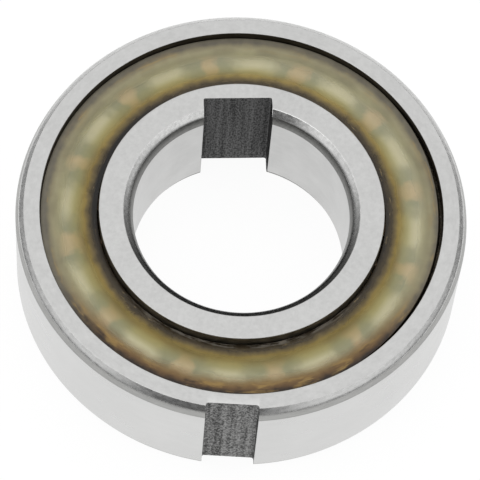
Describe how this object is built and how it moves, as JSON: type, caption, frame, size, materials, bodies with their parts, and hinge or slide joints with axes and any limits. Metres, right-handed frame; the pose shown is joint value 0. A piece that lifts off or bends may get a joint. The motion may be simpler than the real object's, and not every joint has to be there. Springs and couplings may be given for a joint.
{
  "type": "sprag clutch",
  "caption": "One-way sprag clutch built into a sealed ball bearing, with a keyway in the bore and one in the outside; the inner ring turns freely one way and locks the other",
  "frame": {"origin": "centre of the bore, half way along the width", "axes": "+Z along the bore axis towards the upper face; -Y through the keyway in the outer ring"},
  "size_m": [0.052, 0.0518, 0.015],
  "materials": {
    "ring_steel": "ground bearing steel with fine circular grinding marks",
    "cage_steel": "pressed steel with a brown phosphate coat",
    "spring_steel": "fine wound spring wire",
    "seal_rubber": "cloudy olive rubber that lets the grease and balls show faintly",
    "ball_steel": "polished bearing balls",
    "sprag_steel": "ground and tumbled hard steel, straw coloured"
  },
  "bodies": {
    "outer_ring": {"outer_ring": "ring_steel", "upper_seal": "seal_rubber", "lower_seal": "seal_rubber"},
    "inner_ring": {"inner_ring": "ring_steel"},
    "cage": {"cage": "cage_steel", "upper_garter_spring": "spring_steel", "lower_garter_spring": "spring_steel"},
    "ball_01": {"ball_01": "ball_steel"},
    "ball_02": {"ball_02": "ball_steel"},
    "ball_03": {"ball_03": "ball_steel"},
    "ball_04": {"ball_04": "ball_steel"},
    "ball_05": {"ball_05": "ball_steel"},
    "ball_06": {"ball_06": "ball_steel"},
    "ball_07": {"ball_07": "ball_steel"},
    "ball_08": {"ball_08": "ball_steel"},
    "ball_09": {"ball_09": "ball_steel"},
    "ball_10": {"ball_10": "ball_steel"},
    "ball_11": {"ball_11": "ball_steel"},
    "ball_12": {"ball_12": "ball_steel"},
    "sprag_01": {"sprag_01": "sprag_steel"},
    "sprag_02": {"sprag_02": "sprag_steel"},
    "sprag_03": {"sprag_03": "sprag_steel"},
    "sprag_04": {"sprag_04": "sprag_steel"},
    "sprag_05": {"sprag_05": "sprag_steel"},
    "sprag_06": {"sprag_06": "sprag_steel"},
    "sprag_07": {"sprag_07": "sprag_steel"},
    "sprag_08": {"sprag_08": "sprag_steel"},
    "sprag_09": {"sprag_09": "sprag_steel"},
    "sprag_10": {"sprag_10": "sprag_steel"},
    "sprag_11": {"sprag_11": "sprag_steel"},
    "sprag_12": {"sprag_12": "sprag_steel"}
  },
  "joints": [
    {"name": "inner_ring_spin", "type": "hinge", "parent": "outer_ring", "child": "inner_ring", "pos_m": [0, 0, 0], "axis": [0, 0, 1], "range_deg": [0, 3600]},
    {"name": "cage_orbit", "type": "hinge", "parent": "outer_ring", "child": "cage", "pos_m": [0, 0, 0], "axis": [0, 0, 1], "range_deg": [0, 1521]},
    {"name": "ball_01_spin", "type": "hinge", "parent": "cage", "child": "ball_01", "pos_m": [0.01909, -0.00067, 0], "axis": [0, 0, 1], "range_deg": [-11271, 0]},
    {"name": "ball_02_spin", "type": "hinge", "parent": "cage", "child": "ball_02", "pos_m": [0.01686, 0.00897, 0], "axis": [0, 0, 1], "range_deg": [-11271, 0]},
    {"name": "ball_03_spin", "type": "hinge", "parent": "cage", "child": "ball_03", "pos_m": [0.01012, 0.0162, 0], "axis": [0, 0, 1], "range_deg": [-11271, 0]},
    {"name": "ball_04_spin", "type": "hinge", "parent": "cage", "child": "ball_04", "pos_m": [0.00067, 0.01909, 0], "axis": [0, 0, 1], "range_deg": [-11271, 0]},
    {"name": "ball_05_spin", "type": "hinge", "parent": "cage", "child": "ball_05", "pos_m": [-0.00897, 0.01686, 0], "axis": [0, 0, 1], "range_deg": [-11271, 0]},
    {"name": "ball_06_spin", "type": "hinge", "parent": "cage", "child": "ball_06", "pos_m": [-0.0162, 0.01012, 0], "axis": [0, 0, 1], "range_deg": [-11271, 0]},
    {"name": "ball_07_spin", "type": "hinge", "parent": "cage", "child": "ball_07", "pos_m": [-0.01909, 0.00067, 0], "axis": [0, 0, 1], "range_deg": [-11271, 0]},
    {"name": "ball_08_spin", "type": "hinge", "parent": "cage", "child": "ball_08", "pos_m": [-0.01686, -0.00897, 0], "axis": [0, 0, 1], "range_deg": [-11271, 0]},
    {"name": "ball_09_spin", "type": "hinge", "parent": "cage", "child": "ball_09", "pos_m": [-0.01012, -0.0162, 0], "axis": [0, 0, 1], "range_deg": [-11271, 0]},
    {"name": "ball_10_spin", "type": "hinge", "parent": "cage", "child": "ball_10", "pos_m": [-0.00067, -0.01909, 0], "axis": [0, 0, 1], "range_deg": [-11271, 0]},
    {"name": "ball_11_spin", "type": "hinge", "parent": "cage", "child": "ball_11", "pos_m": [0.00897, -0.01686, 0], "axis": [0, 0, 1], "range_deg": [-11271, 0]},
    {"name": "ball_12_spin", "type": "hinge", "parent": "cage", "child": "ball_12", "pos_m": [0.0162, -0.01012, 0], "axis": [0, 0, 1], "range_deg": [-11271, 0]},
    {"name": "sprag_01_tilt", "type": "hinge", "parent": "cage", "child": "sprag_01", "pos_m": [0.01861, 0.0043, 0], "axis": [0, 0, -1], "range_deg": [0, 6], "stiffness_Nm_per_rad": 0.002},
    {"name": "sprag_02_tilt", "type": "hinge", "parent": "cage", "child": "sprag_02", "pos_m": [0.01397, 0.01303, 0], "axis": [0, 0, -1], "range_deg": [0, 6], "stiffness_Nm_per_rad": 0.002},
    {"name": "sprag_03_tilt", "type": "hinge", "parent": "cage", "child": "sprag_03", "pos_m": [0.00558, 0.01827, 0], "axis": [0, 0, -1], "range_deg": [0, 6], "stiffness_Nm_per_rad": 0.002},
    {"name": "sprag_04_tilt", "type": "hinge", "parent": "cage", "child": "sprag_04", "pos_m": [-0.0043, 0.01861, 0], "axis": [0, 0, -1], "range_deg": [0, 6], "stiffness_Nm_per_rad": 0.002},
    {"name": "sprag_05_tilt", "type": "hinge", "parent": "cage", "child": "sprag_05", "pos_m": [-0.01303, 0.01397, 0], "axis": [0, 0, -1], "range_deg": [0, 6], "stiffness_Nm_per_rad": 0.002},
    {"name": "sprag_06_tilt", "type": "hinge", "parent": "cage", "child": "sprag_06", "pos_m": [-0.01827, 0.00558, 0], "axis": [0, 0, -1], "range_deg": [0, 6], "stiffness_Nm_per_rad": 0.002},
    {"name": "sprag_07_tilt", "type": "hinge", "parent": "cage", "child": "sprag_07", "pos_m": [-0.01861, -0.0043, 0], "axis": [0, 0, -1], "range_deg": [0, 6], "stiffness_Nm_per_rad": 0.002},
    {"name": "sprag_08_tilt", "type": "hinge", "parent": "cage", "child": "sprag_08", "pos_m": [-0.01397, -0.01303, 0], "axis": [0, 0, -1], "range_deg": [0, 6], "stiffness_Nm_per_rad": 0.002},
    {"name": "sprag_09_tilt", "type": "hinge", "parent": "cage", "child": "sprag_09", "pos_m": [-0.00558, -0.01827, 0], "axis": [0, 0, -1], "range_deg": [0, 6], "stiffness_Nm_per_rad": 0.002},
    {"name": "sprag_10_tilt", "type": "hinge", "parent": "cage", "child": "sprag_10", "pos_m": [0.0043, -0.01861, 0], "axis": [0, 0, -1], "range_deg": [0, 6], "stiffness_Nm_per_rad": 0.002},
    {"name": "sprag_11_tilt", "type": "hinge", "parent": "cage", "child": "sprag_11", "pos_m": [0.01303, -0.01397, 0], "axis": [0, 0, -1], "range_deg": [0, 6], "stiffness_Nm_per_rad": 0.002},
    {"name": "sprag_12_tilt", "type": "hinge", "parent": "cage", "child": "sprag_12", "pos_m": [0.01827, -0.00558, 0], "axis": [0, 0, -1], "range_deg": [0, 6], "stiffness_Nm_per_rad": 0.002}
  ],
  "couplings": [
    {"joint": "cage_orbit", "follows": "inner_ring_spin", "ratio": 0.42208},
    {"joint": "ball_01_spin", "follows": "inner_ring_spin", "ratio": -3.1305},
    {"joint": "ball_02_spin", "follows": "inner_ring_spin", "ratio": -3.1305},
    {"joint": "ball_03_spin", "follows": "inner_ring_spin", "ratio": -3.1305},
    {"joint": "ball_04_spin", "follows": "inner_ring_spin", "ratio": -3.1305},
    {"joint": "ball_05_spin", "follows": "inner_ring_spin", "ratio": -3.1305},
    {"joint": "ball_06_spin", "follows": "inner_ring_spin", "ratio": -3.1305},
    {"joint": "ball_07_spin", "follows": "inner_ring_spin", "ratio": -3.1305},
    {"joint": "ball_08_spin", "follows": "inner_ring_spin", "ratio": -3.1305},
    {"joint": "ball_09_spin", "follows": "inner_ring_spin", "ratio": -3.1305},
    {"joint": "ball_10_spin", "follows": "inner_ring_spin", "ratio": -3.1305},
    {"joint": "ball_11_spin", "follows": "inner_ring_spin", "ratio": -3.1305},
    {"joint": "ball_12_spin", "follows": "inner_ring_spin", "ratio": -3.1305},
    {"joint": "sprag_02_tilt", "follows": "sprag_01_tilt", "ratio": 1},
    {"joint": "sprag_03_tilt", "follows": "sprag_01_tilt", "ratio": 1},
    {"joint": "sprag_04_tilt", "follows": "sprag_01_tilt", "ratio": 1},
    {"joint": "sprag_05_tilt", "follows": "sprag_01_tilt", "ratio": 1},
    {"joint": "sprag_06_tilt", "follows": "sprag_01_tilt", "ratio": 1},
    {"joint": "sprag_07_tilt", "follows": "sprag_01_tilt", "ratio": 1},
    {"joint": "sprag_08_tilt", "follows": "sprag_01_tilt", "ratio": 1},
    {"joint": "sprag_09_tilt", "follows": "sprag_01_tilt", "ratio": 1},
    {"joint": "sprag_10_tilt", "follows": "sprag_01_tilt", "ratio": 1},
    {"joint": "sprag_11_tilt", "follows": "sprag_01_tilt", "ratio": 1},
    {"joint": "sprag_12_tilt", "follows": "sprag_01_tilt", "ratio": 1}
  ]
}
